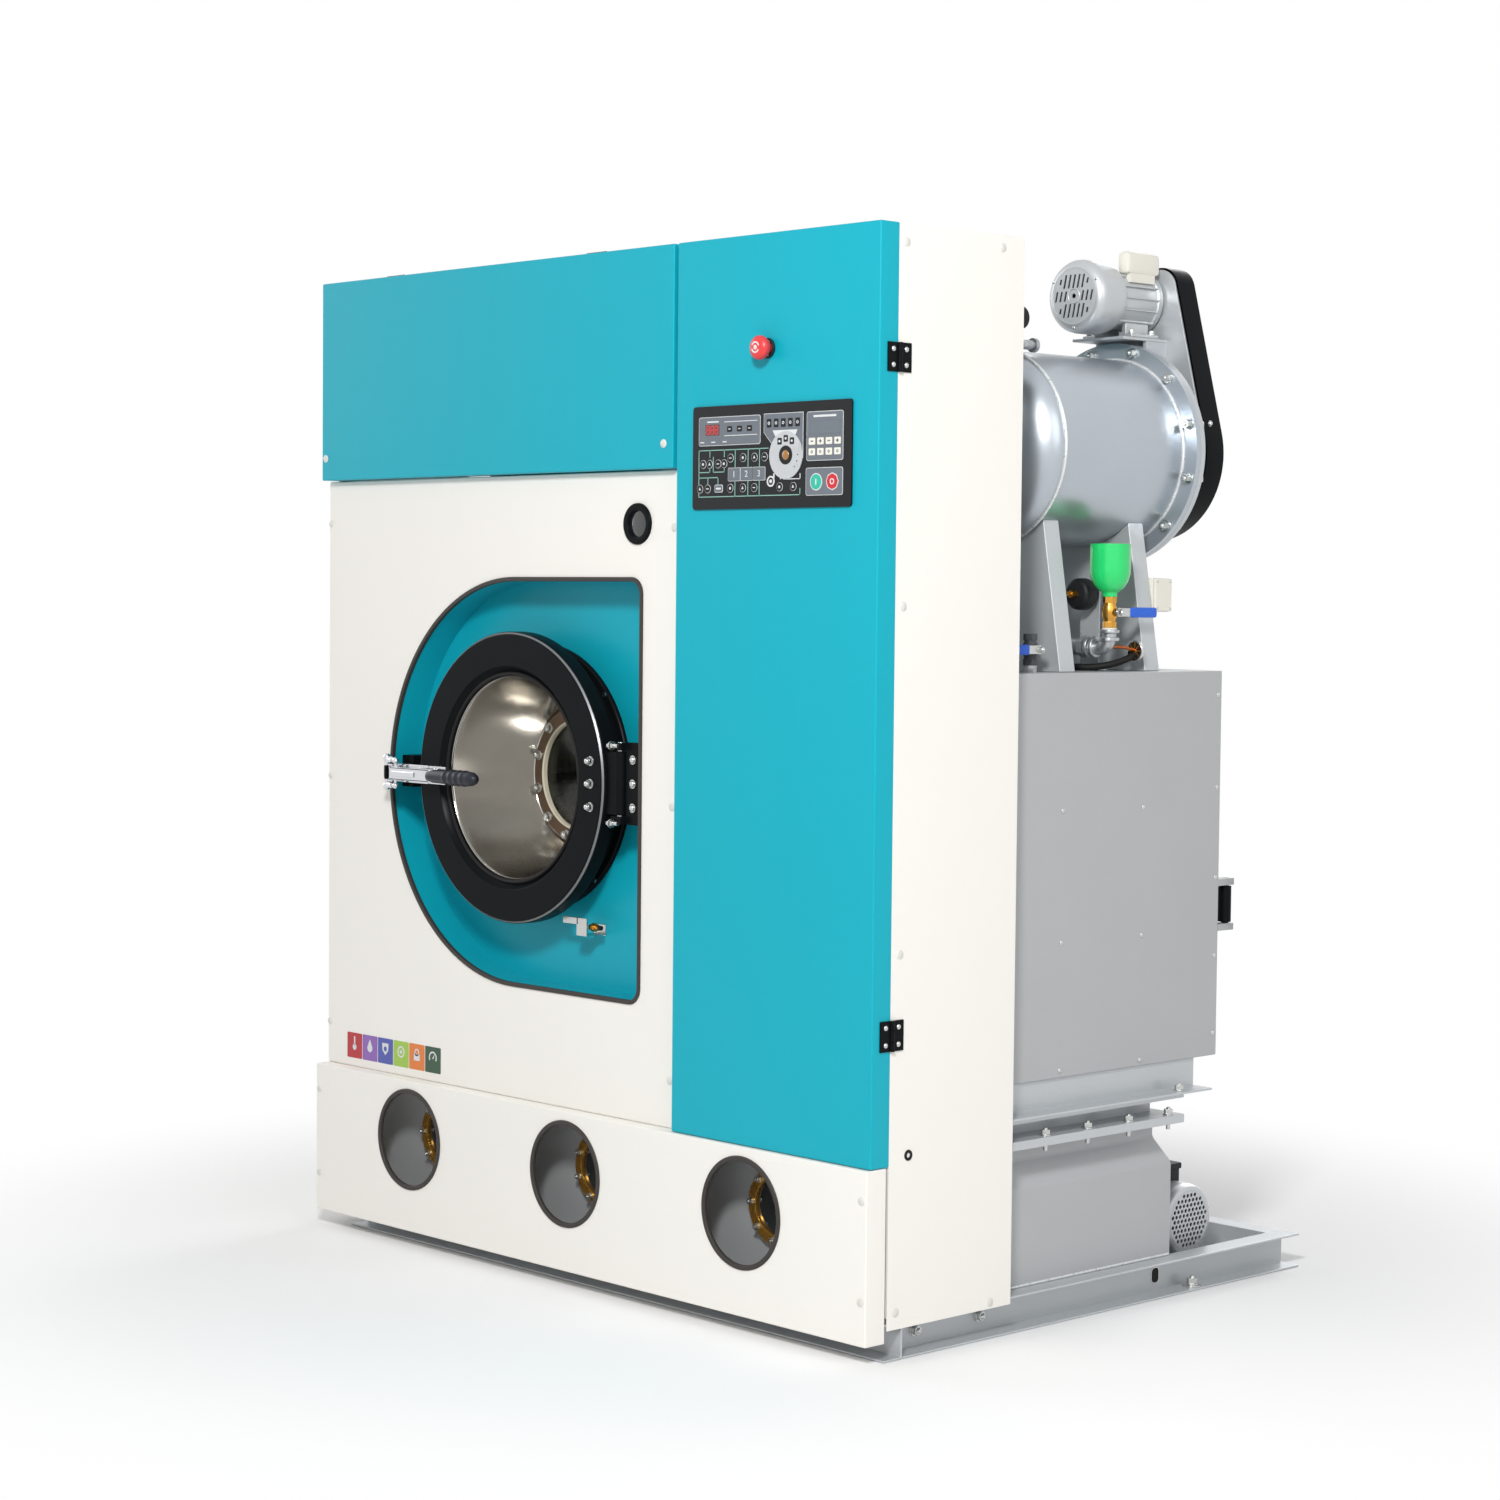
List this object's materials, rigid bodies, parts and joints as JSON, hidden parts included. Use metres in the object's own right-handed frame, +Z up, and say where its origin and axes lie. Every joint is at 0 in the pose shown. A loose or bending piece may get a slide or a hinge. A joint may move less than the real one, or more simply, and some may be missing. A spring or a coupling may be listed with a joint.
{
  "type": "dry cleaning machine",
  "caption": "Cabinet-fronted dry cleaning machine with a round loading door, belt-driven drum, solvent tank, still, disc filter and pump on an open channel frame.",
  "frame": {"origin": "bottom centre of the whole machine, on the floor under the channel frame", "axes": "+X to the right of someone facing the front, +Y from the front to the back, +Z up"},
  "size_m": [1.51, 1.1856, 1.863],
  "materials": {
    "silver_paint": "smooth silver-grey machine paint",
    "tank_paint": "satin grey machine paint",
    "white_paint": "satin warm white powder coat",
    "teal_paint": "glossy teal powder coat",
    "black_paint": "semi-gloss black enamel",
    "stainless": "spun and polished stainless steel",
    "chrome": "bright plated steel",
    "bronze": "machined bronze, dulled",
    "brass": "forged brass",
    "galvanised": "hot-dip galvanised fittings and zinc-plated sheet",
    "cast_iron": "machined cast iron",
    "dark_glass": "thick clear glass over a dark inside",
    "rubber": "black rubber belt",
    "green_plastic": "glossy green plastic",
    "blue_grip": "blue dipped vinyl grip",
    "red_plastic": "glossy red plastic",
    "white_plastic": "matt off-white moulded box",
    "black_plastic": "matt black moulded plastic"
  },
  "bodies": {
    "frame": {"base_front_rail": "silver_paint", "base_rear_rail": "silver_paint", "base_left_rail": "silver_paint", "base_right_rail": "silver_paint", "plinth_panel": "white_paint", "front_panel": "white_paint", "front_sight_glass": "dark_glass", "recess_pan": "teal_paint", "left_side_panel": "white_paint", "right_side_panel": "white_paint", "top_panel": "white_paint", "door_frame_ring": "black_paint", "door_hinge_bracket": "black_paint", "clamp_catch": "black_paint", "drum_tub": "tank_paint", "drum_motor": "silver_paint", "drum_belt": "rubber", "base_tank": "tank_paint", "tank_sight_glass_left": "bronze", "tank_sight_glass_middle": "bronze", "tank_sight_glass_right": "bronze", "still_body": "tank_paint", "still_stand": "silver_paint", "filter_shell": "silver_paint", "filter_end_cover": "silver_paint", "filter_saddle_front": "silver_paint", "filter_saddle_rear": "silver_paint", "filter_motor": "silver_paint", "filter_belt": "rubber", "motor_mounting_plate": "silver_paint", "belt_guard": "black_paint", "fill_funnel": "green_plastic", "funnel_valve": "brass", "funnel_pipe": "galvanised", "still_valve": "cast_iron", "pressure_switch": "black_plastic", "junction_box": "white_plastic", "pump": "silver_paint", "air_duct": "tank_paint", "electrical_board": "galvanised"},
    "loading_door": {"door_ring": "black_paint", "door_dish": "stainless", "door_glass_ring": "bronze", "door_sight_glass": "dark_glass", "clamp_base": "chrome"},
    "clamp_lever": {"clamp_lever": "chrome"},
    "clamp_bolt": {"clamp_bolt": "chrome"},
    "control_door": {"control_door": "teal_paint", "control_panel": "black_plastic"},
    "estop_button": {"estop_button": "red_plastic"},
    "flip_cover": {"flip_cover": "teal_paint"},
    "drum": {"drum_cage": "stainless", "drum_pulley": "cast_iron"},
    "drum_motor_pulley": {"drum_motor_pulley": "cast_iron"},
    "filter_spindle": {"filter_spindle": "stainless"},
    "filter_motor_pulley": {"filter_motor_pulley": "cast_iron"},
    "funnel_valve_lever": {"funnel_valve_lever": "blue_grip"},
    "still_valve_lever": {"still_valve_lever": "blue_grip"},
    "pump_rotor": {"pump_rotor": "black_plastic"},
    "still_door": {"still_door": "black_paint"}
  },
  "joints": [
    {"name": "loading_door_swing", "type": "hinge", "parent": "frame", "child": "loading_door", "pos_m": [0.112, -0.53025, 0.908], "axis": [0, 0, 1], "range_deg": [0, 110]},
    {"name": "clamp_lever_swing", "type": "hinge", "parent": "loading_door", "child": "clamp_lever", "pos_m": [-0.495, -0.57025, 0.899], "axis": [0, 0, 1], "range_deg": [-105, 0]},
    {"name": "clamp_bolt_swing", "type": "hinge", "parent": "clamp_lever", "child": "clamp_bolt", "pos_m": [-0.481, -0.57525, 0.899], "axis": [0, 0, 1], "range_deg": [0, 121.3]},
    {"name": "control_door_swing", "type": "hinge", "parent": "frame", "child": "control_door", "pos_m": [0.758, -0.50925, 1.0755], "axis": [0, 0, 1], "range_deg": [0, 120]},
    {"name": "estop_press", "type": "slide", "parent": "control_door", "child": "estop_button", "axis": [0, 1, 0], "range_m": [0, 0.005], "stiffness_N_per_m": 800, "springref_m": -0.001},
    {"name": "flip_cover_lift", "type": "hinge", "parent": "frame", "child": "flip_cover", "pos_m": [-0.2435, -0.50825, 1.836], "axis": [1, 0, 0], "range_deg": [-100, 0]},
    {"name": "drum_spin", "type": "hinge", "parent": "frame", "child": "drum", "pos_m": [-0.175, -0.187, 0.904], "axis": [0, 1, 0], "continuous": true},
    {"name": "drum_motor_spin", "type": "hinge", "parent": "frame", "child": "drum_motor_pulley", "pos_m": [-0.175, 0.129, 0.392], "axis": [0, 1, 0], "continuous": true},
    {"name": "filter_spin", "type": "hinge", "parent": "frame", "child": "filter_spindle", "pos_m": [0.538, 0.2, 1.501], "axis": [0, 1, 0], "continuous": true},
    {"name": "filter_motor_spin", "type": "hinge", "parent": "frame", "child": "filter_motor_pulley", "pos_m": [0.538, 0.364, 1.779], "axis": [0, 1, 0], "continuous": true},
    {"name": "funnel_valve_turn", "type": "hinge", "parent": "frame", "child": "funnel_valve_lever", "pos_m": [0.711, 0.09775, 1.2147], "axis": [1, 0, 0], "range_deg": [-90, 0]},
    {"name": "still_valve_turn", "type": "hinge", "parent": "frame", "child": "still_valve_lever", "pos_m": [0.687, -0.08225, 1.15], "axis": [1, 0, 0], "range_deg": [-90, 0]},
    {"name": "pump_spin", "type": "hinge", "parent": "frame", "child": "pump_rotor", "pos_m": [0.56, 0.36375, 0.106], "axis": [1, 0, 0], "continuous": true},
    {"name": "still_door_swing", "type": "hinge", "parent": "frame", "child": "still_door", "pos_m": [0.701, 0.41975, 0.685], "axis": [0, 0, 1], "range_deg": [-110, 0]}
  ],
  "couplings": [
    {"joint": "clamp_bolt_swing", "follows": "clamp_lever_swing", "ratio": -1.15},
    {"joint": "drum_motor_spin", "follows": "drum_spin", "ratio": 3.3333},
    {"joint": "filter_motor_spin", "follows": "filter_spin", "ratio": 2.9474}
  ]
}
